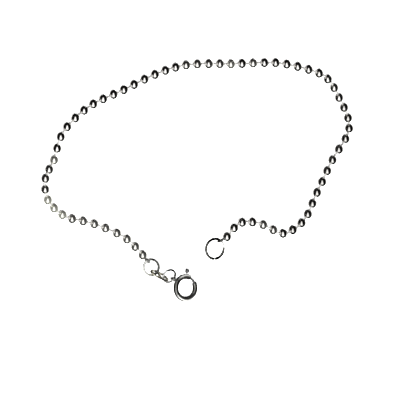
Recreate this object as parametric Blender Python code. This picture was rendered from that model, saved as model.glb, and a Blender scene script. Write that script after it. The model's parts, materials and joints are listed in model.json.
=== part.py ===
"""A beaded chain bracelet with a spring ring clasp, lying open on a flat surface.

Metres, +Z up. The surface is z = 0, and the origin is below the middle of the whole piece.
"""

import math

import bmesh
import bpy
import numpy as np
from mathutils import Matrix, Vector

MM = 0.001

# The chain
CHAIN_LENGTH = 173.0 * MM
BEAD_COUNT = 65
BEAD_D = 2.0 * MM
BEAD_END_D = 0.85 * MM
LINK_WIRE_D = 0.45 * MM

# The small loop that ends the chain on either side
LOOP_WIRE_D = 0.32 * MM
LOOP_NECK = 0.05 * MM
LOOP_CLEARANCE = 0.17 * MM

# The jump ring that the clasp hooks on
FAR_RING_D = 4.9 * MM
FAR_RING_WIRE_D = 0.56 * MM
FAR_LOOP_TURN = -18.0
FAR_RING_TURN = 27.0
FAR_RING_CUT = 0.3 * MM
FAR_RING_CUT_AT = -90.0

# The jump ring at the clasp end, which leans on the plate
NEAR_RING_D = 4.0 * MM
NEAR_RING_WIRE_D = 0.56 * MM
NEAR_RING_LEAN = 13.5
NEAR_RING_LEAN_AXIS = -76.0
NEAR_RING_AT_LOOP = 199.0
NEAR_RING_AT_TAG = 25.0

# The oval plate
TAG_LENGTH = 5.2 * MM
TAG_WIDTH = 2.2 * MM
TAG_THICKNESS = 0.35 * MM
TAG_HOLE_D = 1.45 * MM
TAG_HOLE_SPACING = 2.15 * MM
TAG_TURN = -21.0
TAG_ROLL = -46.0

# The jump ring between the plate and the clasp
LINK_RING_D = 3.4 * MM
LINK_RING_WIRE_D = 0.46 * MM
LINK_RING_LEAN = 24.0
LINK_RING_LEAN_AXIS = -5.0
LINK_RING_AT_TAG = 195.0
LINK_RING_AT_EYE = 333.0

# The clasp's hollow ring
CLASP_D = 6.05 * MM
TUBE_D = 1.15 * MM
TUBE_WALL = 0.18 * MM
GATE_START = 27.0
GATE_END = 62.0
EYE_AT = 150.0
EYE_WIRE_D = 0.4 * MM
EYE_CLEARANCE = 0.18 * MM
EYE_SOLDER = 0.12 * MM

# The clasp's trigger
BOLT_CLEARANCE = 0.12 * MM
BOLT_LAP = 5.0
BOLT_TAIL = 12.0
STEM_AT = 83.0
STEM_D = 0.42 * MM
SLOT_CLEARANCE = 0.1 * MM
TRIGGER_TRAVEL = 38.0
BALL_D = 1.0 * MM
BALL_RISE = 0.2 * MM

# How the chain lies: bead number and its x and y in millimetres, on the chain as first laid out
ROUTE = [
    (1, -14.6, -16.4),
    (3, -18.6, -13.0),
    (6, -26.9, -9.7),
    (9, -35.0, -7.7),
    (11, -38.7, -4.5),
    (13, -39.3, 0.1),
    (15, -37.1, 4.1),
    (17, -35.4, 9.1),
    (20, -29.5, 14.8),
    (24, -19.4, 19.3),
    (28, -8.8, 23.5),
    (30, -3.5, 24.7),
    (32, 2.3, 25.0),
    (34, 8.0, 25.0),
    (36, 13.7, 25.2),
    (38, 19.5, 25.3),
    (40, 25.2, 24.5),
    (43, 33.0, 21.8),
    (45, 35.9, 17.8),
    (48, 38.5, 11.1),
    (51, 34.2, 4.2),
    (54, 30.2, -2.9),
    (57, 26.2, -9.5),
    (59, 21.4, -11.8),
    (61, 16.3, -9.9),
    (63, 10.9, -9.4),
    (65, 7.0, -12.5),
]

# Facets
BEAD_SIDES = 12
BEAD_LATITUDES = (-1.0, -0.5, 0.0, 0.5, 1.0)
WIRE_SIDES = 6
RING_SEGMENTS = 24
LOOP_SEGMENTS = 14
TUBE_SIDES = 10
BOLT_SIDES = 8
TUBE_STEP = 12.0

# What follows from the sizes above
BEAD_R = BEAD_D / 2
BEAD_END_ANGLE = math.acos(BEAD_END_D / BEAD_D)
BEAD_END_REACH = BEAD_R * math.sin(BEAD_END_ANGLE)
LINK_WIRE_R = LINK_WIRE_D / 2
CLASP_R = (CLASP_D - TUBE_D) / 2
TUBE_R = TUBE_D / 2
BORE_R = TUBE_R - TUBE_WALL
BOLT_R = BORE_R - BOLT_CLEARANCE
EYE_D = LINK_RING_WIRE_D + 2 * EYE_CLEARANCE + 2 * EYE_WIRE_D
EYE_RISE = (EYE_D - TUBE_D) / 2
EYE_REACH = CLASP_R + math.sqrt((EYE_D / 2 + TUBE_R - EYE_SOLDER) ** 2 - EYE_RISE**2)
BALL_REACH = CLASP_D / 2 + BALL_RISE + BALL_D / 2


def clear_scene():
    for old in list(bpy.data.objects):
        bpy.data.objects.remove(old)


def metal(name, colour, roughness):
    material = bpy.data.materials.new(name)
    material.use_nodes = True
    shader = material.node_tree.nodes["Principled BSDF"]
    shader.inputs["Base Color"].default_value = (*colour, 1.0)
    shader.inputs["Metallic"].default_value = 1.0
    shader.inputs["Roughness"].default_value = roughness
    material.diffuse_color = (*colour, 1.0)
    return material


def new_object(name, bm, material):
    """Makes an object of a bmesh, with its faces outward and its round sides shaded smooth."""
    bmesh.ops.recalc_face_normals(bm, faces=bm.faces)
    mesh = bpy.data.meshes.new(name)
    bm.to_mesh(mesh)
    bm.free()
    mesh.shade_smooth()
    mesh.set_sharp_from_angle(angle=math.radians(40))
    mesh.materials.append(material)
    obj = bpy.data.objects.new(name, mesh)
    bpy.context.scene.collection.objects.link(obj)
    return obj


def add_boolean(target, other, operation):
    """Joins or cuts the target with another object, which is itself left out of the build."""
    modifier = target.modifiers.new(f"{operation.lower()}_{other.name}", "BOOLEAN")
    modifier.object = other
    modifier.operation = operation
    modifier.solver = "EXACT"
    other.hide_render = True
    other.display_type = "WIRE"
    other.parent = target


def turn(degrees):
    """The unit vector that points this many degrees round from +X, in plan."""
    angle = math.radians(degrees)
    return Vector((math.cos(angle), math.sin(angle), 0.0))


def circle(bm, centre, side, up, radius, sides, start=0.0):
    """A ring of points about the centre, in the plane of two unit vectors."""
    points = []
    for i in range(sides):
        angle = start + 2 * math.pi * i / sides
        offset = math.cos(angle) * side + math.sin(angle) * up
        points.append(bm.verts.new(centre + radius * offset))
    return points


def bridge(bm, first, second):
    """Faces between two rings of points, where one may have twice as many points as the other."""
    few, many = sorted((first, second), key=len)
    count = len(few)
    for i in range(count):
        j = (i + 1) % count
        if len(many) == count:
            bm.faces.new((few[i], few[j], many[j], many[i]))
            continue
        middle = many[2 * i + 1]
        bm.faces.new((few[i], middle, many[2 * i]))
        bm.faces.new((few[i], few[j], middle))
        bm.faces.new((few[j], many[2 * j], middle))


def sweep_closed(bm, frames, radius, sides):
    """A round wire through frames of (centre, side, up), joined end to end."""
    rings = [circle(bm, *frame, radius, sides) for frame in frames]
    for i, ring in enumerate(rings):
        bridge(bm, ring, rings[(i + 1) % len(rings)])


def sweep_capped(bm, frames, radius, sides):
    """A round wire through frames of (centre, side, up), with flat ends."""
    rings = [circle(bm, *frame, radius, sides) for frame in frames]
    for first, second in zip(rings, rings[1:]):
        bridge(bm, first, second)
    bm.faces.new(rings[0])
    bm.faces.new(rings[-1])


class Ring:
    """A wire ring in the plane of two unit vectors."""

    def __init__(self, across, wire_d, along, up):
        self.radius = (across - wire_d) / 2
        self.wire_r = wire_d / 2
        self.along = along
        self.up = up
        self.centre = Vector()

    def offset(self, degrees):
        angle = math.radians(degrees)
        return self.radius * (math.cos(angle) * self.along + math.sin(angle) * self.up)

    def hang(self, degrees, point):
        """Places the ring so that its wire passes through the point at this angle."""
        self.centre = point - self.offset(degrees)

    def at(self, degrees):
        return self.centre + self.offset(degrees)

    def frames(self, segments):
        normal = self.along.cross(self.up)
        for i in range(segments):
            out = self.offset(360.0 * i / segments).normalized()
            yield self.centre + self.radius * out, out, normal

    def build(self, name, material, segments=RING_SEGMENTS):
        bm = bmesh.new()
        sweep_closed(bm, self.frames(segments), self.wire_r, WIRE_SIDES)
        return new_object(name, bm, material)

    def build_cut(self, name, material, cut_at, cut):
        """The ring as bent wire, whose ends stand this far apart at an angle in plan."""
        out = turn(cut_at)
        middle = math.degrees(math.atan2(out.dot(self.up), out.dot(self.along)))
        half = math.degrees(cut / 2 / self.radius)
        normal = self.along.cross(self.up)
        frames = []
        for degrees in np.linspace(middle + half, middle + 360.0 - half, RING_SEGMENTS + 1):
            out = self.offset(degrees).normalized()
            frames.append((self.at(degrees), out, normal))
        bm = bmesh.new()
        sweep_capped(bm, frames, self.wire_r, WIRE_SIDES)
        return new_object(name, bm, material)


def leaning_ring(across, wire_d, axis, lean):
    """A ring that leans over about a level line through its centre."""
    along = turn(axis)
    level = turn(axis + 90.0)
    angle = math.radians(lean)
    return Ring(across, wire_d, along, math.cos(angle) * level + math.sin(angle) * Vector((0, 0, 1)))


def spline_slopes(knots, points):
    """Slopes at the chosen points, each from the two stretches beside it."""
    steps = np.diff(knots)
    secants = np.diff(points, axis=0) / steps[:, None]
    slopes = np.zeros_like(points)
    for i in range(1, len(knots) - 1):
        weighted = steps[i] * secants[i - 1] + steps[i - 1] * secants[i]
        slopes[i] = weighted / (steps[i] + steps[i - 1])
    slopes[0] = 1.5 * secants[0] - 0.5 * slopes[1]
    slopes[-1] = 1.5 * secants[-1] - 0.5 * slopes[-2]
    return slopes


def bead_places():
    """Where the beads lie: on a smooth curve through the route, sized to the chain's own length."""
    table = np.array(ROUTE)
    knots = (table[:, 0] - 1) / (table[-1, 0] - 1)
    points = table[:, 1:]
    slopes = spline_slopes(knots, points)
    places = []
    for share in np.linspace(0.0, 1.0, BEAD_COUNT):
        i = min(int(np.searchsorted(knots, share, side="right")) - 1, len(knots) - 2)
        step = knots[i + 1] - knots[i]
        t = (share - knots[i]) / step
        start = (2 * t**3 - 3 * t**2 + 1) * points[i] + (t**3 - 2 * t**2 + t) * step * slopes[i]
        end = (3 * t**2 - 2 * t**3) * points[i + 1] + (t**3 - t**2) * step * slopes[i + 1]
        places.append(start + end)
    places = np.array(places)
    laid = np.linalg.norm(np.diff(places, axis=0), axis=1).sum()
    places *= CHAIN_LENGTH / laid
    return [Vector((x, y, BEAD_R)) for x, y in places]


def end_loop(bead, outward, held_wire_d):
    """The loop past an end bead, upright on the surface, round a wire that it holds."""
    across = held_wire_d + 2 * LOOP_CLEARANCE + 2 * LOOP_WIRE_D
    loop = Ring(across, LOOP_WIRE_D, outward, Vector((0, 0, 1)))
    reach = BEAD_R + LOOP_NECK + across / 2
    loop.centre = bead + reach * outward
    loop.centre.z = across / 2
    return loop


def chain_mesh(beads, loops):
    """The beads with flat ends and the wire between them, as one skin that runs into either loop."""
    bm = bmesh.new()
    up = Vector((0, 0, 1))
    rings = []
    pitch = CHAIN_LENGTH / (BEAD_COUNT - 1)
    ends = [bead + pitch * loop.along for bead, loop in zip((beads[0], beads[-1]), loops)]
    for before, bead, after in zip([ends[0], *beads], beads, [*beads[1:], ends[1]]):
        along = (after - before).normalized()
        side = up.cross(along)
        rings.append(circle(bm, bead - BEAD_END_REACH * along, side, up, LINK_WIRE_R, WIRE_SIDES))
        for share in BEAD_LATITUDES:
            angle = share * BEAD_END_ANGLE
            centre = bead + BEAD_R * math.sin(angle) * along
            rings.append(circle(bm, centre, side, up, BEAD_R * math.cos(angle), BEAD_SIDES))
        rings.append(circle(bm, bead + BEAD_END_REACH * along, side, up, LINK_WIRE_R, WIRE_SIDES))
    for loop, along, place in zip(loops, (-loops[0].along, loops[1].along), (0, len(rings) + 1)):
        near_side = loop.centre - loop.radius * loop.along
        rings.insert(place, circle(bm, near_side, up.cross(along), up, LOOP_WIRE_D / 2, WIRE_SIDES))
    for one, other in zip(rings, rings[1:]):
        bridge(bm, one, other)
    bm.faces.new(rings[0])
    bm.faces.new(rings[-1])
    return bm


def build_chain(beads, loops, material):
    chain = new_object("bead_chain", chain_mesh(beads, loops), material)
    for number, loop in enumerate(loops, 1):
        piece = loop.build(f"chain_loop_{number}", material, LOOP_SEGMENTS)
        add_boolean(chain, piece, "UNION")
    return chain


def oval_outline(length, width, count):
    return [
        (length / 2 * math.cos(2 * math.pi * i / count), width / 2 * math.sin(2 * math.pi * i / count))
        for i in range(count)
    ]


def build_tag(pose, material):
    """The flat oval plate with a hole for each of its two rings."""
    bm = bmesh.new()
    outline = oval_outline(TAG_LENGTH, TAG_WIDTH, 32)
    low = [bm.verts.new((x, y, -TAG_THICKNESS / 2)) for x, y in outline]
    base = bm.faces.new(low)
    raised = bmesh.ops.extrude_face_region(bm, geom=[base])
    moved = [v for v in raised["geom"] if isinstance(v, bmesh.types.BMVert)]
    bmesh.ops.translate(bm, verts=moved, vec=(0, 0, TAG_THICKNESS))
    tag = new_object("tag", bm, material)
    for number, side in enumerate((-1, 1), 1):
        bm = bmesh.new()
        bmesh.ops.create_cone(
            bm,
            cap_ends=True,
            segments=16,
            radius1=TAG_HOLE_D / 2,
            radius2=TAG_HOLE_D / 2,
            depth=3 * TAG_THICKNESS,
            matrix=Matrix.Translation((side * TAG_HOLE_SPACING / 2, 0, 0)),
        )
        cutter = new_object(f"tag_hole_{number}", bm, material)
        add_boolean(tag, cutter, "DIFFERENCE")
    tag.matrix_world = pose
    return tag


def arc_frames(start, end, step):
    """Frames round the clasp's ring from one angle to another, about the origin."""
    count = max(2, round((end - start) / step)) + 1
    for degrees in np.linspace(start, end, count):
        out = turn(degrees)
        yield CLASP_R * out, out, Vector((0, 0, 1))


def build_spring_ring(centre, material):
    """The hollow ring from one side of the gate round to the other, with its slot and eye."""
    bm = bmesh.new()
    frames = list(arc_frames(GATE_END, GATE_START + 360.0, TUBE_STEP))
    outer = [circle(bm, *frame, TUBE_R, TUBE_SIDES) for frame in frames]
    bore = [circle(bm, *frame, BORE_R, TUBE_SIDES) for frame in frames]
    for walls in (outer, bore):
        for first, second in zip(walls, walls[1:]):
            bridge(bm, first, second)
    for end in (0, -1):
        bridge(bm, outer[end], bore[end])
    ring = new_object("spring_ring", bm, material)
    add_boolean(ring, slot_cutter(material), "DIFFERENCE")
    eye = Ring(EYE_D, EYE_WIRE_D, turn(EYE_AT), Vector((0, 0, 1)))
    eye.centre = EYE_REACH * turn(EYE_AT) + Vector((0, 0, EYE_RISE))
    add_boolean(ring, eye.build("clasp_eye", material, 16), "UNION")
    ring.location = centre
    return ring


def slot_cutter(material):
    """The slot on the outside of the tube in which the trigger's stem travels."""
    half_width = STEM_D / 2 + SLOT_CLEARANCE
    spare = math.degrees(half_width / CLASP_R)
    bm = bmesh.new()
    sections = []
    for degrees in np.linspace(STEM_AT - spare, STEM_AT + TRIGGER_TRAVEL + spare, 7):
        near = CLASP_R * turn(degrees)
        far = (CLASP_R + 2 * TUBE_R) * turn(degrees)
        rise = Vector((0, 0, half_width))
        sections.append([bm.verts.new(corner) for corner in (near - rise, far - rise, far + rise, near + rise)])
    for first, second in zip(sections, sections[1:]):
        bridge(bm, first, second)
    bm.faces.new(sections[0])
    bm.faces.new(sections[-1])
    return new_object("trigger_slot", bm, material)


def build_trigger(centre, material):
    """The curved bolt that closes the gate, with the stem and ball that draw it back."""
    bm = bmesh.new()
    frames = list(arc_frames(GATE_START - BOLT_LAP, STEM_AT + BOLT_TAIL, TUBE_STEP))
    sweep_capped(bm, frames, BOLT_R, BOLT_SIDES)
    trigger = new_object("trigger", bm, material)

    out = turn(STEM_AT)
    bm = bmesh.new()
    frames = [(reach * out, Vector((0, 0, 1)), turn(STEM_AT - 90.0)) for reach in (CLASP_R, BALL_REACH)]
    sweep_capped(bm, frames, STEM_D / 2, BOLT_SIDES)
    add_boolean(trigger, new_object("trigger_stem", bm, material), "UNION")

    bm = bmesh.new()
    bmesh.ops.create_uvsphere(bm, u_segments=12, v_segments=8, radius=BALL_D / 2)
    ball = new_object("trigger_ball", bm, material)
    ball.location = BALL_REACH * out
    add_boolean(trigger, ball, "UNION")

    trigger.location = centre
    return trigger


def far_end(bead, neighbour):
    """The loop and the jump ring at the end that the clasp hooks on."""
    outward = Matrix.Rotation(math.radians(FAR_LOOP_TURN), 3, "Z") @ (bead - neighbour).normalized()
    loop = end_loop(bead, outward, FAR_RING_WIRE_D)
    heading = math.degrees(math.atan2(outward.y, outward.x)) + FAR_RING_TURN
    rise = loop.centre.z - FAR_RING_WIRE_D / 2
    lean = math.degrees(math.asin(rise / (FAR_RING_D - FAR_RING_WIRE_D)))
    ring = leaning_ring(FAR_RING_D, FAR_RING_WIRE_D, heading + 90.0, lean)
    ring.hang(90.0, loop.centre)
    return loop, ring


def near_end(bead, neighbour):
    """The loop, the two jump rings and the plate's place at the clasp end, and the clasp's centre."""
    outward = (bead - neighbour).normalized()
    loop = end_loop(bead, outward, NEAR_RING_WIRE_D)
    near = leaning_ring(NEAR_RING_D, NEAR_RING_WIRE_D, NEAR_RING_LEAN_AXIS, NEAR_RING_LEAN)
    near.hang(NEAR_RING_AT_LOOP, loop.centre)

    link = leaning_ring(LINK_RING_D, LINK_RING_WIRE_D, LINK_RING_LEAN_AXIS, LINK_RING_LEAN)
    first_hole = near.at(NEAR_RING_AT_TAG)
    second_z = EYE_D / 2 + link.offset(LINK_RING_AT_TAG).z - link.offset(LINK_RING_AT_EYE).z
    pitch = math.asin((second_z - first_hole.z) / TAG_HOLE_SPACING)
    pose = Matrix.Rotation(math.radians(TAG_TURN), 4, "Z") @ Matrix.Rotation(-pitch, 4, "Y")
    along = pose @ Vector((1, 0, 0))
    middle = first_hole + TAG_HOLE_SPACING / 2 * along
    pose = Matrix.Translation(middle) @ pose @ Matrix.Rotation(math.radians(TAG_ROLL), 4, "X")

    link.hang(LINK_RING_AT_TAG, first_hole + TAG_HOLE_SPACING * along)
    clasp = link.at(LINK_RING_AT_EYE) - EYE_REACH * turn(EYE_AT)
    clasp.z = TUBE_R
    return loop, near, pose, link, clasp


def centre_on_origin(objects):
    """Puts the middle of everything over the origin."""
    bpy.context.view_layer.update()
    graph = bpy.context.evaluated_depsgraph_get()
    corners = []
    for obj in objects:
        shape = obj.evaluated_get(graph)
        corners += [shape.matrix_world @ Vector(corner) for corner in shape.bound_box]
    low = Vector(min(c[i] for c in corners) for i in range(3))
    high = Vector(max(c[i] for c in corners) for i in range(3))
    shift = Vector((-(low.x + high.x) / 2, -(low.y + high.y) / 2, 0.0))
    base = bpy.data.objects.new("bracelet", None)
    bpy.context.scene.collection.objects.link(base)
    for obj in objects:
        obj.parent = base
    base.location = shift


def main():
    clear_scene()
    silver = metal("polished_silver", (0.86, 0.85, 0.83), 0.12)
    plate_silver = metal("plate_silver", (0.74, 0.73, 0.67), 0.22)
    clasp_silver = metal("clasp_silver", (0.80, 0.79, 0.77), 0.15)
    trigger_silver = metal("trigger_silver", (0.70, 0.69, 0.68), 0.2)

    beads = bead_places()
    far_loop, far_ring = far_end(beads[-1], beads[-2])
    near_loop, near_ring, tag_pose, link_ring, clasp = near_end(beads[0], beads[1])
    centre_on_origin(
        [
            build_chain(beads, (near_loop, far_loop), silver),
            far_ring.build_cut("far_ring", silver, FAR_RING_CUT_AT, FAR_RING_CUT),
            near_ring.build("near_ring", silver),
            build_tag(tag_pose, plate_silver),
            link_ring.build("link_ring", silver),
            build_spring_ring(clasp, clasp_silver),
            build_trigger(clasp, trigger_silver),
        ]
    )


main()
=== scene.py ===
"""A silver beaded chain bracelet lying open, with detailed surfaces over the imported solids.

Metres, +Z up. The surface it lies on is z = 0.
"""

import json
import math

import bmesh
import bpy
import numpy as np
from mathutils import Matrix, Vector


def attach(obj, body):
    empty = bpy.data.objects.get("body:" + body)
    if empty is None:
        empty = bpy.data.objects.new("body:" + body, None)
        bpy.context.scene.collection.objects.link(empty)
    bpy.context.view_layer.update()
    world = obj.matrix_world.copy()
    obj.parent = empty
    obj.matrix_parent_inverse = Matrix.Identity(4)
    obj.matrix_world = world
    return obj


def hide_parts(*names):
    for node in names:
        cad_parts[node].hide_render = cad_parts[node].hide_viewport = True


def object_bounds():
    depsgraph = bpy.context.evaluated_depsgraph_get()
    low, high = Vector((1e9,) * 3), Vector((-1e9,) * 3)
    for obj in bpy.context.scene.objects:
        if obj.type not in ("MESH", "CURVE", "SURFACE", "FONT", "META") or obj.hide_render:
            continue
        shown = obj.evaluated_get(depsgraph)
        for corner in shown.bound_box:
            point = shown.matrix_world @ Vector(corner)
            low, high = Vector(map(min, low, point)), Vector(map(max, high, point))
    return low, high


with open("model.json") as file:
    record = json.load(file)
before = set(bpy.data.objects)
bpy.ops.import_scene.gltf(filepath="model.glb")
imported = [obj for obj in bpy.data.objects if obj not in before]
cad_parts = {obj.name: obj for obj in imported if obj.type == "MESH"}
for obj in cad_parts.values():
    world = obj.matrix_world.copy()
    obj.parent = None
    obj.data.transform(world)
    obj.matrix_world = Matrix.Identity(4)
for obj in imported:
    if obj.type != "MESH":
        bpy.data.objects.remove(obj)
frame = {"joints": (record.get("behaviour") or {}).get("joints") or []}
cad_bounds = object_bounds()

MM = 0.001
UP = Vector((0, 0, 1))

# The photograph's line of sight: right, up and back towards the camera
VIEW_RIGHT = Vector((0.846, 0.0, 0.533)).normalized()
VIEW_UP = Vector((0.0, 1.0, 0.0))
VIEW_BACK = VIEW_RIGHT.cross(VIEW_UP)

# The chain
CHAIN_LENGTH = 173.0 * MM
BEAD_COUNT = 65
BEAD_D = 2.0 * MM
BEAD_HOLE_R = 0.26 * MM
BEAD_HOLE_END_R = 0.15 * MM
BEAD_HOLE_DEPTH = 0.26 * MM
BEAD_RIM_R = 0.17 * MM
LINK_WIRE_D = 0.45 * MM
LINK_SINK = 0.22 * MM
LINK_WAIST = 0.10
LINK_EASE = 0.45

# The fine seam along each bead: the seams are spread over this many degrees about straight down.
# The shares are how much of its depth it has at angles from its middle, in radians, and it starts
# this far from the bead's axis
SEAM_DOWN = 270.0
SEAM_SPREAD = 100.0
SEAM_DEPTH = 0.022 * MM
SEAM_SHARES = [(-0.05, 0.0), (-0.018, 0.25), (0.0, 1.0), (0.018, 0.25), (0.05, 0.0)]
SEAM_FROM_R = 0.4 * MM

# Beads that differ in tone: first and last bead number, and their tone, paler and duller above zero and
# darker below
BEAD_TONES = [
    (1, 8, 0.25),
    (9, 11, 0.90),
    (12, 14, 0.06),
    (15, 15, 0.50),
    (30, 33, 0.10),
    (34, 34, 0.45),
    (36, 36, 0.20),
    (46, 58, -0.40),
    (60, 61, 0.17),
]

# The small loop that ends the chain on either side
LOOP_WIRE_D = 0.32 * MM
LOOP_NECK = 0.05 * MM
LOOP_CLEARANCE = 0.17 * MM
LOOP_SINK = 0.2 * MM
LOOP_FLARE = 0.35

# The jump rings: a ring holds another piece, or is cut, at an angle of its own, from its lean's axis
FAR_RING_D = 4.9 * MM
FAR_RING_WIRE_D = 0.56 * MM
FAR_LOOP_TURN = -18.0
FAR_RING_TURN = 27.0
FAR_RING_CUT = 0.3 * MM
NEAR_RING_D = 4.0 * MM
NEAR_RING_WIRE_D = 0.56 * MM
NEAR_RING_LEAN = 13.5
NEAR_RING_LEAN_AXIS = -76.0
NEAR_RING_AT_LOOP = 199.0
NEAR_RING_AT_TAG = 25.0
NEAR_RING_CUT_AT = 290.0
LINK_RING_D = 3.4 * MM
LINK_RING_WIRE_D = 0.46 * MM
LINK_RING_LEAN = 24.0
LINK_RING_LEAN_AXIS = -5.0
LINK_RING_AT_TAG = 195.0
LINK_RING_AT_EYE = 333.0
LINK_RING_CUT_AT = 80.0
CLOSED_CUT = 0.05 * MM

# The share of the wire's radius that is rounded off at a cut
CUT_CHAMFER = 0.12

# The far ring's cut and all painted highlights are turned in plan, from +X. A painted highlight has its
# middle, half width and fade in degrees, and how pale it is
FAR_RING_CUT_TURN = -90.0
FAR_RING_PAINTED_HIGHLIGHTS = [(34.0, 18.0, 14.0, 1.0)]
NEAR_RING_PAINTED_HIGHLIGHTS = [(190.0, 80.0, 25.0, 0.75)]
LINK_RING_PAINTED_HIGHLIGHTS = [(225.0, 95.0, 25.0, 0.6)]
CLASP_PAINTED_HIGHLIGHTS = [(80.0, 35.0, 30.0, 1.0), (275.0, 35.0, 30.0, 1.0)]

# The clasp has a painted highlight along a line outside its crown: degrees from the crown, half the line's
# width, and the share of the painted highlight away from it
HIGHLIGHT_LINE_AT = 30.0
HIGHLIGHT_LINE_HALF = 24.0
HIGHLIGHT_LINE_REST = 0.05

# The oval plate
TAG_LENGTH = 5.2 * MM
TAG_WIDTH = 2.2 * MM
TAG_THICKNESS = 0.35 * MM
TAG_HOLE_D = 1.45 * MM
TAG_HOLE_SPACING = 2.15 * MM
TAG_TURN = -21.0
TAG_ROLL = -46.0
TAG_EDGE = 0.07 * MM
TAG_SIDES = 96

# The clasp
CLASP_D = 6.05 * MM
TUBE_D = 1.15 * MM
TUBE_WALL = 0.18 * MM
TUBE_SIDES = 40
GATE_START = 27.0
GATE_END = 62.0
EYE_AT = 150.0
EYE_WIRE_D = 0.4 * MM
EYE_CLEARANCE = 0.18 * MM
EYE_SOLDER = 0.12 * MM
SOLDER_SINK = 0.12 * MM
SOLDER_WAIST_R = 0.21 * MM
SOLDER_FLARE = 0.17 * MM
SOLDER_CURVE = 2.2
BOLT_CLEARANCE = 0.12 * MM
BOLT_CHAMFER = 0.09 * MM
BOLT_LAP = 5.0
BOLT_TAIL = 12.0
STEM_AT = 83.0
STEM_D = 0.42 * MM
SLOT_CLEARANCE = 0.1 * MM
TRIGGER_TRAVEL = 38.0
BALL_D = 1.0 * MM
BALL_RISE = 0.2 * MM

# The stem's flare: how far below the ball's middle in ball widths, and the radius there in stem widths
STEM_FLARE = [(0.62, 0.5), (0.42, 0.6), (0.30, 0.72)]

# How the chain lies: bead number and its x and y in millimetres, on the chain as first laid out
ROUTE = [
    (1, -14.6, -16.4),
    (3, -18.6, -13.0),
    (6, -26.9, -9.7),
    (9, -35.0, -7.7),
    (11, -38.7, -4.5),
    (13, -39.3, 0.1),
    (15, -37.1, 4.1),
    (17, -35.4, 9.1),
    (20, -29.5, 14.8),
    (24, -19.4, 19.3),
    (28, -8.8, 23.5),
    (30, -3.5, 24.7),
    (32, 2.3, 25.0),
    (34, 8.0, 25.0),
    (36, 13.7, 25.2),
    (38, 19.5, 25.3),
    (40, 25.2, 24.5),
    (43, 33.0, 21.8),
    (45, 35.9, 17.8),
    (48, 38.5, 11.1),
    (51, 34.2, 4.2),
    (54, 30.2, -2.9),
    (57, 26.2, -9.5),
    (59, 21.4, -11.8),
    (61, 16.3, -9.9),
    (63, 10.9, -9.4),
    (65, 7.0, -12.5),
]

# The metal's wear. Noise scales are per millimetre, and a band is the two values that a fade runs
# between
TARNISH_SCALE = 0.9
TARNISH_BAND = (0.42, 0.72)
TARNISH_MOST = 0.55
CREVICE_REACH = 0.25 * MM
CREVICE_BAND = (0.15, 0.7)
CREVICE_TONE = 0.25
POLISH_SCALE = 2.3
POLISH_BAND = (0.35, 0.7)
DENT_SCALE = 0.55
SCRATCH_SHARE = 0.35
BUMP_DEPTH = 0.012 * MM
# The darker tone that some beads are given
DARKER_TONE_SILVER = (0.30, 0.29, 0.27)

# Hairline scratches, along X and along Y: how the noise is stretched, its scale and its band
HAIRLINES = [
    ((0.6, 9.0, 9.0), 2.2, (0.5, 0.62)),
    ((8.0, 0.7, 6.0), 1.9, (0.52, 0.66)),
]

# The surface it lies on
FLOOR_REACH = 1.5
FLOOR_MOTTLE_SCALE = 0.02
FLOOR_MOTTLE_BAND = (0.3, 0.7)
FLOOR_TONES = ((0.90, 0.90, 0.895), (0.93, 0.93, 0.925))

# The room's brightness along the view's own directions, from -1 to 1. A pair is where it starts to
# change and where it has changed
WINDOW_SIDE = (0.28, 0.54)
WINDOW_TOP = (0.46, 0.74)
WINDOW_FRONT = (0.20, 0.55)
WINDOW_TAPER = (-0.5, 0.8)
WINDOW_NARROWING = 0.30
WINDOW_STRENGTH = 1.6
BACK_SIDE_SLOPE = 0.72
BACK_SIDE_EDGE = (-0.05, 0.05)
ROOM_GLOW = 0.004
ROOM_COLOUR = (1.0, 1.0, 0.995, 1.0)

# The panels and the camera
PANEL_DISTANCE = 1.1
LENS = 1.4
SENSOR = 0.036
SEEN_WIDTH = 86.75 * MM
AIM = Vector((1.125 * MM, -4.370 * MM, 0.0))

# What follows from the sizes above
BEAD_R = BEAD_D / 2
CLASP_R = (CLASP_D - TUBE_D) / 2
TUBE_R = TUBE_D / 2
BORE_R = TUBE_R - TUBE_WALL
BOLT_R = BORE_R - BOLT_CLEARANCE
EYE_D = LINK_RING_WIRE_D + 2 * EYE_CLEARANCE + 2 * EYE_WIRE_D
EYE_RISE = (EYE_D - TUBE_D) / 2
EYE_REACH = CLASP_R + math.sqrt((EYE_D / 2 + TUBE_R - EYE_SOLDER) ** 2 - EYE_RISE**2)
BALL_REACH = CLASP_D / 2 + BALL_RISE + BALL_D / 2


def turn(degrees):
    """The unit vector that points this many degrees round from +X, in plan."""
    angle = math.radians(degrees)
    return Vector((math.cos(angle), math.sin(angle), 0.0))


def steps(start, stop, count):
    """Evenly spaced plain numbers, with both ends."""
    return np.linspace(start, stop, count).tolist()


def scatter(number):
    """A repeatable value from 0 to 1 for a numbered piece, by the usual sine hash."""
    step, start, spread = 12.9898, 78.233, 43758.5453
    return math.sin(step * number + start) * spread % 1.0


# Materials


def new_material(name):
    """A node material, its tree and its shader."""
    material = bpy.data.materials.new(name)
    material.use_nodes = True
    tree = material.node_tree
    return material, tree, tree.nodes["Principled BSDF"]


def node(tree, kind, inputs=None, **settings):
    """A node with its settings made and its inputs linked to sockets or set to values."""
    made = tree.nodes.new(kind)
    for key, value in settings.items():
        setattr(made, key, value)
    for key, value in (inputs or {}).items():
        if isinstance(value, bpy.types.NodeSocket):
            tree.links.new(value, made.inputs[key])
        else:
            made.inputs[key].default_value = value
    return made


def math_node(tree, operation, first, second):
    """The result of an operation on two sockets or values."""
    return node(tree, "ShaderNodeMath", {0: first, 1: second}, operation=operation).outputs[0]


def ramp(tree, factor, low, high, low_value, high_value):
    """The factor stretched from low..high to low_value..high_value, held at both ends."""
    made = node(
        tree,
        "ShaderNodeMapRange",
        {"Value": factor, "From Min": low, "From Max": high, "To Min": low_value, "To Max": high_value},
        clamp=True,
    )
    return made.outputs["Result"]


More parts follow.
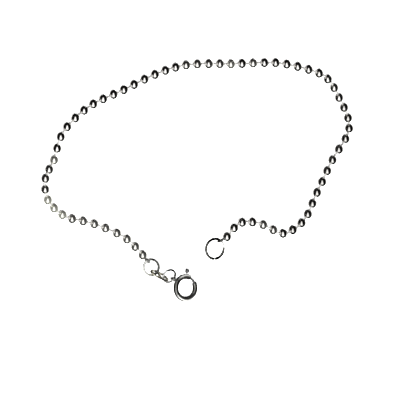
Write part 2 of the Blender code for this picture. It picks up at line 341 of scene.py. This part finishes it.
def millimetres(tree, stretch=(1, 1, 1)):
    """The surface point in millimetres, with each axis stretched."""
    where = node(tree, "ShaderNodeTexCoord")
    return node(
        tree,
        "ShaderNodeMapping",
        {"Vector": where.outputs["Object"], "Scale": tuple(s / MM for s in stretch)},
    ).outputs["Vector"]


def noise(tree, vector, scale, detail=4.0, roughness=0.55):
    """Cloudy noise, mostly between 0.3 and 0.7."""
    made = node(
        tree,
        "ShaderNodeTexNoise",
        {"Vector": vector, "Scale": scale, "Detail": detail, "Roughness": roughness},
    )
    return made.outputs["Fac"]


def rgba(colour):
    """A colour with full alpha, or a colour socket as it is."""
    return colour if isinstance(colour, bpy.types.NodeSocket) else (*colour, 1.0)


def mix_colour(tree, factor, first, second):
    """The first colour, turning into the second as the factor goes from 0 to 1."""
    made = node(
        tree,
        "ShaderNodeMix",
        {0: factor, 6: rgba(first), 7: rgba(second)},
        data_type="RGBA",
    )
    return made.outputs[2]


def hairlines(tree):
    """The height of two sets of fine scratches, one along X and one along Y."""
    along_x, along_y = [
        ramp(tree, noise(tree, millimetres(tree, stretch), scale, detail=5.0), *band, 0.0, 1.0)
        for stretch, scale, band in HAIRLINES
    ]
    return math_node(tree, "ADD", along_x, along_y)


def worn_metal(name, bright, dull, roughness, scratch, crevice, metallic=1.0):
    """Metal with faint tarnish in its hollows, cloudy polish and hairline scratches.

    Scratch is how strong the bump is, and crevice how much of the hollows' dark tone is mixed in.
    """
    material, tree, shader = new_material(name)
    at = millimetres(tree)
    tarnish = ramp(tree, noise(tree, at, TARNISH_SCALE), *TARNISH_BAND, 0.0, TARNISH_MOST)
    base = mix_colour(tree, tarnish, bright, dull)
    hollow = node(tree, "ShaderNodeAmbientOcclusion", {"Distance": CREVICE_REACH}, samples=8)
    depth = ramp(tree, hollow.outputs["AO"], *CREVICE_BAND, crevice, 0.0)
    base = mix_colour(tree, depth, base, tuple(CREVICE_TONE * c for c in dull))
    tree.links.new(base, shader.inputs["Base Color"])
    shader.inputs["Metallic"].default_value = metallic

    polish = noise(tree, at, POLISH_SCALE, detail=6.0)
    tree.links.new(ramp(tree, polish, *POLISH_BAND, *roughness), shader.inputs["Roughness"])

    height = math_node(tree, "MULTIPLY", hairlines(tree), SCRATCH_SHARE)
    height = math_node(tree, "ADD", height, noise(tree, at, DENT_SCALE, detail=2.0))
    bump = node(tree, "ShaderNodeBump", {"Strength": scratch, "Distance": BUMP_DEPTH, "Height": height})
    tree.links.new(bump.outputs["Normal"], shader.inputs["Normal"])
    return material


def add_tone_and_painted_highlight(material, colour, metallic):
    """Makes the metal paler and duller where the mesh's attribute is above zero, and darker below it: a
    bead's own tone, and painted highlights on the rings, clasp and trigger.
    """
    tree = material.node_tree
    shader = tree.nodes["Principled BSDF"]
    tone_and_painted_highlight = node(tree, "ShaderNodeAttribute", attribute_name="tone_and_painted_highlight").outputs["Fac"]
    clean = shader.inputs["Base Color"].links[0].from_socket
    darkened = mix_colour(tree, ramp(tree, tone_and_painted_highlight, -1.0, 0.0, 1.0, 0.0), clean, DARKER_TONE_SILVER)
    pale = mix_colour(tree, ramp(tree, tone_and_painted_highlight, 0.0, 1.0, 0.0, 1.0), darkened, colour)
    tree.links.new(pale, shader.inputs["Base Color"])
    tree.links.new(ramp(tree, tone_and_painted_highlight, 0.0, 1.0, 1.0, metallic), shader.inputs["Metallic"])


SILVER = worn_metal(
    "polished_silver",
    bright=(0.93, 0.92, 0.90),
    dull=(0.72, 0.69, 0.62),
    roughness=(0.04, 0.13),
    scratch=0.25,
    crevice=0.35,
)
# Paler and duller tones on some beads and a darker tone on others, bead by bead
add_tone_and_painted_highlight(SILVER, colour=(0.90, 0.91, 0.80), metallic=0.94)
# Painted shade: the wire's silver is painted dark grey to look as dark as its reflections; its pale colour
# is for painted highlights
WIRE_SILVER = worn_metal(
    "wire_silver",
    bright=(0.22, 0.22, 0.21),
    dull=(0.15, 0.14, 0.12),
    roughness=(0.08, 0.20),
    scratch=0.35,
    crevice=0.8,
)
add_tone_and_painted_highlight(WIRE_SILVER, colour=(0.86, 0.86, 0.83), metallic=0.86)
LINK_SILVER = worn_metal(
    "link_silver",
    bright=(0.93, 0.92, 0.90),
    dull=(0.80, 0.78, 0.72),
    roughness=(0.28, 0.42),
    scratch=0.4,
    crevice=0.3,
    metallic=0.89,
)
PLATE = worn_metal(
    "plate_silver",
    bright=(0.54, 0.52, 0.42),
    dull=(0.34, 0.33, 0.25),
    roughness=(0.14, 0.30),
    scratch=0.6,
    crevice=0.7,
)
# Painted shade: the clasp's silver is painted dark grey to look as dark as its reflections; its pale
# colour is for painted highlights
CLASP = worn_metal(
    "clasp_silver",
    bright=(0.28, 0.28, 0.27),
    dull=(0.19, 0.18, 0.16),
    roughness=(0.08, 0.20),
    scratch=0.35,
    crevice=0.8,
)
add_tone_and_painted_highlight(CLASP, colour=(0.88, 0.88, 0.85), metallic=0.62)
TRIGGER = worn_metal(
    "trigger_silver",
    bright=(0.36, 0.36, 0.37),
    dull=(0.24, 0.24, 0.24),
    roughness=(0.42, 0.55),
    scratch=0.5,
    crevice=0.8,
)
# The pale colour is a painted highlight on the trigger's stem
add_tone_and_painted_highlight(TRIGGER, colour=(0.86, 0.86, 0.84), metallic=0.80)
SOLDER = worn_metal(
    "solder_silver",
    bright=(0.86, 0.85, 0.80),
    dull=(0.62, 0.59, 0.50),
    roughness=(0.16, 0.32),
    scratch=0.9,
    crevice=0.6,
)


# Mesh building


def shade(mesh, sharp):
    """Smooth faces, with the edges sharper than this many degrees left crisp."""
    mesh.shade_smooth()
    mesh.set_sharp_from_angle(angle=math.radians(sharp))


def finish_piece(name, bm, material, sharp=40.0):
    """The built faces as an object of the scene, with its material."""
    bmesh.ops.recalc_face_normals(bm, faces=bm.faces)
    mesh = bpy.data.meshes.new(name)
    bm.to_mesh(mesh)
    bm.free()
    shade(mesh, sharp)
    mesh.materials.append(material)
    obj = bpy.data.objects.new(name, mesh)
    bpy.context.scene.collection.objects.link(obj)
    return obj


def ring_points(bm, centre, side, up, radius, sides):
    """A circle of points, from the side's direction round to up."""
    points = []
    for i in range(sides):
        angle = 2 * math.pi * i / sides
        points.append(bm.verts.new(centre + radius * (math.cos(angle) * side + math.sin(angle) * up)))
    return points


def skin(bm, rings, joined=False):
    """Faces over a row of equal rings of points, either joined end to end or capped."""
    pairs = list(zip(rings, rings[1:]))
    if joined:
        pairs.append((rings[-1], rings[0]))
    for first, second in pairs:
        count = len(first)
        for i in range(count):
            j = (i + 1) % count
            bm.faces.new((first[i], first[j], second[j], second[i]))
    if not joined:
        bm.faces.new(rings[0])
        bm.faces.new(rings[-1])


def rod(bm, stations, sides):
    """A round rod through stations of (centre, side, up, radius), with capped ends."""
    skin(bm, [ring_points(bm, *station, sides) for station in stations])


def rounded_end(radius, chamfer, count):
    """Stations of a rounded end, from its tip to its full radius: how far in they lie, and the radius."""
    stations = []
    for k in range(count, -1, -1):
        angle = math.pi / 2 * k / count
        stations.append((chamfer * (1 - math.sin(angle)), radius - chamfer * (1 - math.cos(angle))))
    return stations


def bent_wire(start, stop, bend_radius, wire_radius, chamfer, count):
    """Stations of a bent wire with rounded ends, between two angles: degrees and radius."""
    end = [
        (math.degrees(back / bend_radius), radius)
        for back, radius in rounded_end(wire_radius, chamfer, count=3)
    ]
    first = [(start + back, radius) for back, radius in end]
    last = [(stop - back, radius) for back, radius in reversed(end)]
    inner = [(degrees, wire_radius) for degrees in steps(first[-1][0], last[0][0], count)[1:-1]]
    return first + inner + last


class Ring:
    """A wire ring in the plane of two unit vectors."""

    def __init__(self, across, wire_d, along, up):
        self.radius = (across - wire_d) / 2
        self.wire_r = wire_d / 2
        self.along = along
        self.up = up
        self.centre = Vector()

    def offset(self, degrees):
        """From the ring's middle to the wire's middle, at this angle of its own."""
        angle = math.radians(degrees)
        return self.radius * (math.cos(angle) * self.along + math.sin(angle) * self.up)

    def hang(self, degrees, point):
        """Moves the ring so that its wire passes through the point at this angle."""
        self.centre = point - self.offset(degrees)

    def at(self, degrees):
        """The wire's middle at this angle."""
        return self.centre + self.offset(degrees)

    def own_angle(self, degrees):
        """The ring's own angle at which it points this many degrees round in plan."""
        out = turn(degrees)
        return math.degrees(math.atan2(out.dot(self.up), out.dot(self.along)))

    def station(self, degrees, radius):
        """The wire's middle, its two directions and its radius at this angle, for a rod."""
        return self.at(degrees), self.offset(degrees).normalized(), self.along.cross(self.up), radius

    def add_closed(self, bm, segments, sides):
        """The ring as wire without an end."""
        turns = [360.0 * i / segments for i in range(segments)]
        rings = [ring_points(bm, *self.station(degrees, self.wire_r), sides) for degrees in turns]
        skin(bm, rings, joined=True)

    def add_cut(self, bm, cut_at, cut, segments, sides):
        """The ring as bent wire, whose two ends stand this far apart."""
        half = math.degrees(cut / 2 / self.radius)
        start, stop = cut_at + half, cut_at + 360.0 - half
        wire = bent_wire(start, stop, self.radius, self.wire_r, CUT_CHAMFER * self.wire_r, segments)
        rod(bm, [self.station(degrees, radius) for degrees, radius in wire], sides)


def leaning_ring(across, wire_d, axis, lean):
    """A ring about a level axis in plan, raised by its lean on that axis's left."""
    angle = math.radians(lean)
    up = math.cos(angle) * turn(axis + 90.0) + math.sin(angle) * UP
    return Ring(across, wire_d, turn(axis), up)


# Where the pieces lie


def spline_slopes(knots, points):
    """The slope at each point, of the parabola through it and its neighbours, with straight ends."""
    gaps = np.diff(knots)
    secants = np.diff(points, axis=0) / gaps[:, None]
    slopes = np.zeros_like(points)
    for i in range(1, len(knots) - 1):
        weighted = gaps[i] * secants[i - 1] + gaps[i - 1] * secants[i]
        slopes[i] = weighted / (gaps[i] + gaps[i - 1])
    slopes[0] = 1.5 * secants[0] - 0.5 * slopes[1]
    slopes[-1] = 1.5 * secants[-1] - 0.5 * slopes[-2]
    return slopes


def bead_places():
    """Where the beads lie: on a smooth curve through the route, sized to the chain's own length."""
    table = np.array(ROUTE)
    knots = (table[:, 0] - 1) / (table[-1, 0] - 1)
    points = table[:, 1:]
    slopes = spline_slopes(knots, points)
    places = []
    for share in steps(0.0, 1.0, BEAD_COUNT):
        i = min(int(np.searchsorted(knots, share, side="right")) - 1, len(knots) - 2)
        gap = knots[i + 1] - knots[i]
        t = (share - knots[i]) / gap
        start = (2 * t**3 - 3 * t**2 + 1) * points[i] + (t**3 - 2 * t**2 + t) * gap * slopes[i]
        end = (3 * t**2 - 2 * t**3) * points[i + 1] + (t**3 - t**2) * gap * slopes[i + 1]
        places.append(start + end)
    places = np.array(places)
    laid = np.linalg.norm(np.diff(places, axis=0), axis=1).sum()
    places *= CHAIN_LENGTH / laid
    return [Vector((x, y, BEAD_R)) for x, y in places]


def end_loop(bead, outward, held_wire_d):
    """The upright wire loop past an end bead, wide enough for the wire that it holds."""
    across = held_wire_d + 2 * LOOP_CLEARANCE + 2 * LOOP_WIRE_D
    loop = Ring(across, LOOP_WIRE_D, outward, UP)
    loop.centre = bead + (BEAD_R + LOOP_NECK + across / 2) * outward
    loop.centre.z = across / 2
    return loop


def far_end(bead, neighbour):
    """The chain's right end: its loop, and the ring that leans on it."""
    outward = Matrix.Rotation(math.radians(FAR_LOOP_TURN), 3, "Z") @ (bead - neighbour).normalized()
    loop = end_loop(bead, outward, FAR_RING_WIRE_D)
    heading = math.degrees(math.atan2(outward.y, outward.x)) + FAR_RING_TURN
    rise = loop.centre.z - FAR_RING_WIRE_D / 2
    lean = math.degrees(math.asin(rise / (FAR_RING_D - FAR_RING_WIRE_D)))
    ring = leaning_ring(FAR_RING_D, FAR_RING_WIRE_D, heading + 90.0, lean)
    ring.hang(90.0, loop.centre)
    return loop, ring


def near_end(bead, neighbour):
    """The chain's left end: its loop, the near ring, the plate's pose, the link ring and the clasp."""
    outward = (bead - neighbour).normalized()
    loop = end_loop(bead, outward, NEAR_RING_WIRE_D)
    near = leaning_ring(NEAR_RING_D, NEAR_RING_WIRE_D, NEAR_RING_LEAN_AXIS, NEAR_RING_LEAN)
    near.hang(NEAR_RING_AT_LOOP, loop.centre)

    link = leaning_ring(LINK_RING_D, LINK_RING_WIRE_D, LINK_RING_LEAN_AXIS, LINK_RING_LEAN)
    first_hole = near.at(NEAR_RING_AT_TAG)
    second_z = EYE_D / 2 + link.offset(LINK_RING_AT_TAG).z - link.offset(LINK_RING_AT_EYE).z
    pitch = math.asin((second_z - first_hole.z) / TAG_HOLE_SPACING)
    pose = Matrix.Rotation(math.radians(TAG_TURN), 4, "Z") @ Matrix.Rotation(-pitch, 4, "Y")
    along = pose @ Vector((1, 0, 0))
    middle = first_hole + TAG_HOLE_SPACING / 2 * along
    pose = Matrix.Translation(middle) @ pose @ Matrix.Rotation(math.radians(TAG_ROLL), 4, "X")

    link.hang(LINK_RING_AT_TAG, first_hole + TAG_HOLE_SPACING * along)
    clasp = link.at(LINK_RING_AT_EYE) - EYE_REACH * turn(EYE_AT)
    clasp.z = TUBE_R
    return loop, near, pose, link, clasp


def chain_axes(beads, loops):
    """Each bead's own axis, along the chain."""
    pitch = CHAIN_LENGTH / (BEAD_COUNT - 1)
    ends = [bead + pitch * loop.along for bead, loop in zip((beads[0], beads[-1]), loops)]
    befores, afters = [ends[0], *beads[:-1]], [*beads[1:], ends[1]]
    return [(after - before).normalized() for before, after in zip(befores, afters)]


# The chain


def bead_profile():
    """Distance along the axis and radius, from inside one hole over the round side into the other."""
    centre_r = BEAD_HOLE_R + BEAD_RIM_R
    centre_a = math.sqrt((BEAD_R - BEAD_RIM_R) ** 2 - centre_r**2)
    tangent = math.atan2(centre_a, centre_r)
    half = [(BEAD_R * math.sin(angle), BEAD_R * math.cos(angle)) for angle in steps(0.0, tangent, count=9)]
    for angle in steps(tangent, math.pi, count=5)[1:]:
        half.append((centre_a + BEAD_RIM_R * math.sin(angle), centre_r + BEAD_RIM_R * math.cos(angle)))
    half.append((centre_a - BEAD_HOLE_DEPTH, BEAD_HOLE_R))
    half.append((centre_a - BEAD_HOLE_DEPTH, BEAD_HOLE_END_R))
    return [(-a, r) for a, r in reversed(half[1:])] + half


def bead_angles(seam):
    """Angles round the bead, crowded at its lengthwise seam, and the share of the seam's depth at each."""
    crowded = [(seam + step, share) for step, share in SEAM_SHARES]
    start, stop = crowded[-1][0], crowded[0][0] + 2 * math.pi
    return crowded + [(angle, 0.0) for angle in steps(start, stop, count=32)[1:-1]]


def build_beads(beads, axes):
    """All beads, each with its own tone and its seam turned its own way."""
    bm = bmesh.new()
    tone_and_painted_highlight = bm.verts.layers.float.new("tone_and_painted_highlight")
    profile = bead_profile()
    for number, (bead, along) in enumerate(zip(beads, axes), 1):
        amount = sum(amount for first, last, amount in BEAD_TONES if first <= number <= last)
        side = UP.cross(along)
        seam = math.radians(SEAM_DOWN + SEAM_SPREAD * (scatter(number) - 0.5))
        angles = bead_angles(seam)
        rings = []
        for a, r in profile:
            depth = SEAM_DEPTH if r > SEAM_FROM_R else 0.0
            ring = []
            for angle, share in angles:
                out = math.cos(angle) * side + math.sin(angle) * UP
                point = bm.verts.new(bead + a * along + (r - depth * share) * out)
                point[tone_and_painted_highlight] = amount
                ring.append(point)
            rings.append(ring)
        skin(bm, rings)
    return finish_piece("chain_beads", bm, SILVER, sharp=50.0)


def bezier(start, first, last, end, t):
    """A point of the curve that leaves start towards first and comes to end from last."""
    rest = 1 - t
    return rest**3 * start + 3 * rest**2 * t * first + 3 * rest * t**2 * last + t**3 * end


def build_links(beads, axes):
    """The short wire between each two beads, a little thicker where it enters them."""
    bm = bmesh.new()
    into = BEAD_R - LINK_SINK
    for i in range(len(beads) - 1):
        start, end = beads[i] + into * axes[i], beads[i + 1] - into * axes[i + 1]
        reach = (end - start).length * LINK_EASE
        first, last = start + reach * axes[i], end - reach * axes[i + 1]
        stations = []
        for t in steps(0.0, 1.0, count=11):
            point = bezier(start, first, last, end, t)
            along = axes[i].lerp(axes[i + 1], t).normalized()
            waist = 1.0 - LINK_WAIST * math.sin(math.pi * t)
            stations.append((point, UP.cross(along), UP, LINK_WIRE_D / 2 * waist))
        rod(bm, stations, sides=16)
    return finish_piece("chain_links", bm, LINK_SILVER)


def build_end_loops(beads, loops):
    """The wire loop past each end bead, with the solder that closes it on its stem."""
    bm = bmesh.new()
    for loop, bead in zip(loops, (beads[0], beads[-1])):
        loop.add_closed(bm, segments=48, sides=16)
        foot = loop.centre - loop.radius * loop.along
        start = bead + (BEAD_R - LOOP_SINK) * loop.along
        stations = []
        for t in steps(0.0, 1.0, count=8):
            flare = 1.0 + LOOP_FLARE * t**3
            stations.append((start.lerp(foot, t), UP.cross(loop.along), UP, LOOP_WIRE_D / 2 * flare))
        rod(bm, stations, sides=16)
    return finish_piece("chain_loops", bm, WIRE_SILVER)


# The painted highlights on the rings, the clasp and the trigger


def painted_highlight_round(out, stretches):
    """The painted highlight in this direction from a ring's middle."""
    heading = math.degrees(math.atan2(out.y, out.x))
    amount = 0.0
    for middle, half, fade, most in stretches:
        away = abs((heading - middle + 180.0) % 360.0 - 180.0)
        share = min(max((half + fade - away) / fade, 0.0), 1.0)
        amount = max(amount, most * share)
    return amount


def painted_highlight_on_tube(out):
    """The painted highlight at a point of the clasp's tube: strongest along a line outside its crown."""
    shoulder = math.degrees(math.atan2(out.to_2d().length - CLASP_R, out.z))
    on_highlight_line = max(0.0, 1.0 - abs(shoulder - HIGHLIGHT_LINE_AT) / HIGHLIGHT_LINE_HALF)
    return painted_highlight_round(out, CLASP_PAINTED_HIGHLIGHTS) * (HIGHLIGHT_LINE_REST + (1.0 - HIGHLIGHT_LINE_REST) * on_highlight_line)


def painted_highlight_on_trigger(out):
    """The painted highlight at a point of the trigger: all of it on the stem between the tube and the
    ball.
    """
    return float(CLASP_D / 2 < out.length < BALL_REACH - BALL_D / 2)


def mark_painted_highlight(piece, amount_at):
    """Writes the painted highlight that a function gives at each point of the piece."""
    amounts = [amount_at(vertex.co) for vertex in piece.data.vertices]
    piece.data.attributes.new("tone_and_painted_highlight", "FLOAT", "POINT").data.foreach_set("value", amounts)


# The rings, the plate and the clasp


def build_jump_ring(name, ring, cut_at, cut, painted_highlights):
    """A ring of bent wire with its cut, and its painted highlights."""
    bm = bmesh.new()
    ring.add_cut(bm, cut_at, cut, segments=120, sides=24)
    piece = finish_piece(name, bm, WIRE_SILVER)
    # The pale stretches are painted highlights, turned in plan
    mark_painted_highlight(piece, lambda point: painted_highlight_round(point - ring.centre, painted_highlights))
    return piece


def apply_modifiers(obj):
    """Keeps what the modifiers make of the mesh, and removes them."""
    bpy.context.view_layer.update()
    graph = bpy.context.evaluated_depsgraph_get()
    mesh = bpy.data.meshes.new_from_object(obj.evaluated_get(graph))
    obj.modifiers.clear()
    obj.data = mesh


def cut_with(obj, cutters):
    """Takes the cutters out of the object, and deletes them."""
    for cutter in cutters:
        modifier = obj.modifiers.new("cut", "BOOLEAN")
        modifier.object = cutter
        modifier.operation = "DIFFERENCE"
        modifier.solver = "EXACT"
    apply_modifiers(obj)
    for cutter in cutters:
        bpy.data.objects.remove(cutter)


def soften_edges(obj, width, segments, limit):
    """Rounds the edges that are sharper than the limit in degrees."""
    modifier = obj.modifiers.new("soft", "BEVEL")
    modifier.width = width
    modifier.segments = segments
    modifier.limit_method = "ANGLE"
    modifier.angle_limit = math.radians(limit)
    apply_modifiers(obj)
    shade(obj.data, sharp=50.0)


def build_tag(pose):
    """The oval plate, with rounded edges round its outline and both holes."""
    bm = bmesh.new()
    outline = []
    for i in range(TAG_SIDES):
        angle = 2 * math.pi * i / TAG_SIDES
        outline.append((TAG_LENGTH / 2 * math.cos(angle), TAG_WIDTH / 2 * math.sin(angle)))
    faces_z = (-TAG_THICKNESS / 2, TAG_THICKNESS / 2)
    skin(bm, [[bm.verts.new((x, y, z)) for x, y in outline] for z in faces_z])
    tag = finish_piece("tag_plate", bm, PLATE)
    cutters = []
    for side in (-1, 1):
        bm = bmesh.new()
        centre = Vector((side * TAG_HOLE_SPACING / 2, 0, 0))
        across, along = Vector((1, 0, 0)), Vector((0, 1, 0))
        rod(bm, [(centre + z * UP, across, along, TAG_HOLE_D / 2) for z in (-MM, MM)], sides=48)
        cutters.append(finish_piece("tag_hole", bm, PLATE))
    cut_with(tag, cutters)
    soften_edges(tag, TAG_EDGE, segments=3, limit=50)
    tag.matrix_world = pose
    return tag


def tube_frame(degrees):
    """The middle of the clasp's tube at this angle, and the direction outwards there."""
    out = turn(degrees)
    return CLASP_R * out, out


def tube_walls(bm, turns, radius):
    """Rings of points round the tube at these angles."""
    return [ring_points(bm, *tube_frame(degrees), UP, radius, TUBE_SIDES) for degrees in turns]


def rolled_rim(bm, end, sign):
    """Rings of points from the outer wall over the rounded rim to the bore, at one end of the tube."""
    rim = TUBE_WALL / 2
    place, out = tube_frame(end)
    along = sign * UP.cross(out)
    rings = []
    for angle in steps(0.0, math.pi, count=7):
        centre = place + (rim * math.sin(angle) - rim) * along
        radius = TUBE_R - rim + rim * math.cos(angle)
        rings.append(ring_points(bm, centre, out, UP, radius, TUBE_SIDES))
    return rings


def slot_cutter():
    """A curved block where the trigger's stem travels, with room to spare."""
    half_width = STEM_D / 2 + SLOT_CLEARANCE
    spare = math.degrees(half_width / CLASP_R)
    outer = CLASP_R + 2 * TUBE_R
    corners = ((CLASP_R, -1), (outer, -1), (outer, 1), (CLASP_R, 1))
    bm = bmesh.new()
    sections = []
    for degrees in steps(STEM_AT - spare, STEM_AT + TRIGGER_TRAVEL + spare, count=25):
        out = turn(degrees)
        sections.append([bm.verts.new(reach * out + side * half_width * UP) for reach, side in corners])
    skin(bm, sections)
    return finish_piece("slot", bm, CLASP)


def build_tube(centre):
    """The hollow ring with rolled rims at the gate and the trigger's slot on its outside."""
    bm = bmesh.new()
    turns = steps(GATE_END, GATE_START + 360.0, count=109)[1:-1]
    rings = tube_walls(bm, turns, TUBE_R)
    rings += rolled_rim(bm, GATE_START, 1.0)
    rings += tube_walls(bm, turns[::-1], BORE_R)
    rings += reversed(rolled_rim(bm, GATE_END, -1.0))
    skin(bm, rings, joined=True)
    tube = finish_piece("clasp_tube", bm, CLASP)
    cut_with(tube, [slot_cutter()])
    shade(tube.data, sharp=50.0)
    # A painted highlight along a line outside the tube's crown, with pale stretches at its top and bottom
    mark_painted_highlight(tube, painted_highlight_on_tube)
    tube.location = centre
    return tube


def build_eye(centre):
    """The upright wire eye that the link ring passes through, with its solder joint."""
    out = turn(EYE_AT)
    eye = Ring(EYE_D, EYE_WIRE_D, out, UP)
    eye.centre = EYE_REACH * out + EYE_RISE * UP
    bm = bmesh.new()
    eye.add_closed(bm, segments=56, sides=20)
    wire = finish_piece("clasp_eye", bm, CLASP)

    side = UP.cross(out)
    foot = CLASP_R * out
    lead = (eye.centre - foot).normalized()
    lift = side.cross(lead)
    start = TUBE_R - SOLDER_SINK
    reach = (eye.centre - foot).length - eye.radius - start
    bm = bmesh.new()
    stations = []
    for t in steps(0.0, 1.0, count=9):
        radius = SOLDER_WAIST_R + SOLDER_FLARE * (1 - t) ** SOLDER_CURVE
        stations.append((foot + (start + reach * t) * lead, side, lift, radius))
    rod(bm, stations, sides=24)
    joint = finish_piece("eye_solder", bm, SOLDER)
    for piece in (wire, joint):
        piece.location = centre
    return wire, joint


def build_trigger(centre):
    """The bolt, its stem and the ball that a finger pulls."""
    bm = bmesh.new()
    start, stop = GATE_START - BOLT_LAP, STEM_AT + BOLT_TAIL
    bolt = bent_wire(start, stop, CLASP_R, BOLT_R, BOLT_CHAMFER, count=30)
    rod(bm, [(*tube_frame(degrees), UP, radius) for degrees, radius in bolt], sides=24)

    out = turn(STEM_AT)
    side = turn(STEM_AT - 90.0)
    stem = [(CLASP_R, STEM_D / 2)]
    stem += [(BALL_REACH - below * BALL_D, radius * STEM_D) for below, radius in STEM_FLARE]
    rod(bm, [(reach * out, UP, side, radius) for reach, radius in stem], sides=20)

    ball = []
    for latitude in steps(-80.0, 80.0, count=17):
        angle = math.radians(latitude)
        reach = BALL_REACH + BALL_D / 2 * math.sin(angle)
        ball.append((reach * out, UP, side, BALL_D / 2 * math.cos(angle)))
    rod(bm, ball, sides=28)
    trigger = finish_piece("clasp_trigger", bm, TRIGGER)
    # A painted highlight over the whole stem
    mark_painted_highlight(trigger, painted_highlight_on_trigger)
    trigger.location = centre
    return trigger


# The bracelet, with each piece's body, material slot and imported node

beads = bead_places()
far_loop, far_ring = far_end(beads[-1], beads[-2])
near_loop, near_ring, tag_pose, link_ring, clasp = near_end(beads[0], beads[1])
axes = chain_axes(beads, (near_loop, far_loop))
far_cut_at = far_ring.own_angle(FAR_RING_CUT_TURN)

chain_pieces = [
    build_beads(beads, axes),
    build_links(beads, axes),
    build_end_loops(beads, (near_loop, far_loop)),
]
far_jump_ring = build_jump_ring("far_jump_ring", far_ring, far_cut_at, FAR_RING_CUT, FAR_RING_PAINTED_HIGHLIGHTS)
near_jump_ring = build_jump_ring("near_jump_ring", near_ring, NEAR_RING_CUT_AT, CLOSED_CUT, NEAR_RING_PAINTED_HIGHLIGHTS)
link_jump_ring = build_jump_ring("link_jump_ring", link_ring, LINK_RING_CUT_AT, CLOSED_CUT, LINK_RING_PAINTED_HIGHLIGHTS)
tag = build_tag(tag_pose)
clasp_pieces = [build_tube(clasp), *build_eye(clasp)]
trigger = build_trigger(clasp)

PIECES = [(piece, "bracelet", "polished_silver", "bead_chain") for piece in chain_pieces]
PIECES += [
    (far_jump_ring, "bracelet", "polished_silver", "far_ring"),
    (near_jump_ring, "bracelet", "polished_silver", "near_ring"),
    (link_jump_ring, "bracelet", "polished_silver", "link_ring"),
    (tag, "bracelet", "plate_silver", "tag"),
]
PIECES += [(piece, "bracelet", "clasp_silver", "spring_ring") for piece in clasp_pieces]
PIECES.append((trigger, "trigger", "trigger_silver", "trigger"))

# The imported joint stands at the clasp's middle, so all pieces move together to bring the clasp there
shift = Vector(frame["joints"][0]["pos_m"]) - clasp
for piece, body, slot, cad_node in PIECES:
    bpy.context.view_layer.update()
    piece.data.transform(Matrix.Translation(shift) @ piece.matrix_world)
    piece.matrix_world = Matrix.Identity(4)
    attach(piece, body)
    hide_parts(cad_node)


# The surface, the lights and the camera


def build_floor():
    """The pale, faintly mottled surface, which the silver doesn't reflect."""
    material, tree, shader = new_material("pale_surface")
    clouds = noise(tree, millimetres(tree), FLOOR_MOTTLE_SCALE, detail=3.0)
    tone = mix_colour(tree, ramp(tree, clouds, *FLOOR_MOTTLE_BAND, 0.0, 1.0), *FLOOR_TONES)
    tree.links.new(tone, shader.inputs["Base Color"])
    shader.inputs["Roughness"].default_value = 0.7
    shader.inputs["Specular IOR Level"].default_value = 0.2
    bm = bmesh.new()
    bmesh.ops.create_grid(bm, x_segments=2, y_segments=2, size=FLOOR_REACH)
    floor = finish_piece("surface", bm, material)
    floor.location.z = cad_bounds[0].z
    floor.visible_glossy = False


def add_panel(name, direction, width, height, power, colour):
    """A soft panel light in this direction, that faces the bracelet and isn't reflected."""
    light = bpy.data.lights.new(name, "AREA")
    light.shape = "RECTANGLE"
    light.size = width
    light.size_y = height
    light.energy = power
    light.color = colour
    panel = bpy.data.objects.new(name, light)
    bpy.context.scene.collection.objects.link(panel)
    panel.visible_glossy = False
    panel.visible_camera = False
    towards = Vector(direction).normalized()
    panel.location = towards * PANEL_DISTANCE
    panel.rotation_euler = towards.to_track_quat("Z", "Y").to_euler()


def add_camera():
    """A long lens that looks down across the bracelet, with the chain's back at the picture's top."""
    data = bpy.data.cameras.new("camera")
    data.lens = LENS / MM
    data.sensor_width = SENSOR / MM
    data.clip_start = 0.01
    data.clip_end = 20.0
    camera = bpy.data.objects.new("camera", data)
    place = AIM + VIEW_BACK * (SEEN_WIDTH * LENS / SENSOR)
    turned = Matrix((VIEW_RIGHT, VIEW_UP, VIEW_BACK)).transposed()
    camera.matrix_world = Matrix.Translation(place) @ turned.to_4x4()
    bpy.context.scene.collection.objects.link(camera)
    bpy.context.scene.camera = camera


def set_world():
    """A room whose brightness depends on direction alone.

    It has a tall window in front that narrows towards its top, bright sides behind, and is dark elsewhere.
    """
    world = bpy.data.worlds.new("room")
    world.use_nodes = True
    tree = world.node_tree
    direction = node(tree, "ShaderNodeTexCoord").outputs["Generated"]

    def along(axis):
        made = node(tree, "ShaderNodeVectorMath", {0: direction, 1: axis}, operation="DOT_PRODUCT")
        return made.outputs["Value"]

    across, upward, toward = along(VIEW_RIGHT), along(VIEW_UP), along(VIEW_BACK)
    aside = math_node(tree, "ABSOLUTE", across, 0.0)
    taper = ramp(tree, upward, *WINDOW_TAPER, 0.0, WINDOW_NARROWING)
    window = math_node(
        tree,
        "MULTIPLY",
        ramp(tree, math_node(tree, "ADD", aside, taper), *WINDOW_SIDE, 1.0, 0.0),
        ramp(tree, upward, *WINDOW_TOP, 1.0, 0.0),
    )
    window = math_node(tree, "MULTIPLY", window, ramp(tree, toward, *WINDOW_FRONT, 0.0, 1.0))
    window = math_node(tree, "MULTIPLY", window, WINDOW_STRENGTH)
    sloped = math_node(tree, "MULTIPLY", aside, BACK_SIDE_SLOPE)
    behind = math_node(tree, "SUBTRACT", math_node(tree, "ADD", toward, 1.0), sloped)
    sides = ramp(tree, behind, *BACK_SIDE_EDGE, 1.0, 0.0)
    light = math_node(tree, "ADD", math_node(tree, "MAXIMUM", window, sides), ROOM_GLOW)
    background = tree.nodes["Background"]
    background.inputs["Color"].default_value = ROOM_COLOUR
    tree.links.new(light, background.inputs["Strength"])
    bpy.context.scene.world = world


build_floor()
set_world()
add_panel(
    "key_panel",
    direction=(-0.50, -0.28, 0.86),
    width=0.55,
    height=0.75,
    power=60.0,
    colour=(1.0, 1.0, 1.0),
)
add_panel(
    "front_panel",
    direction=(-0.30, -0.90, 0.42),
    width=0.7,
    height=0.5,
    power=26.0,
    colour=(1.0, 0.995, 0.98),
)
add_camera()

scene = bpy.context.scene
scene.view_settings.view_transform = "Standard"
scene.view_settings.look = "None"
scene.view_settings.exposure = 0.0
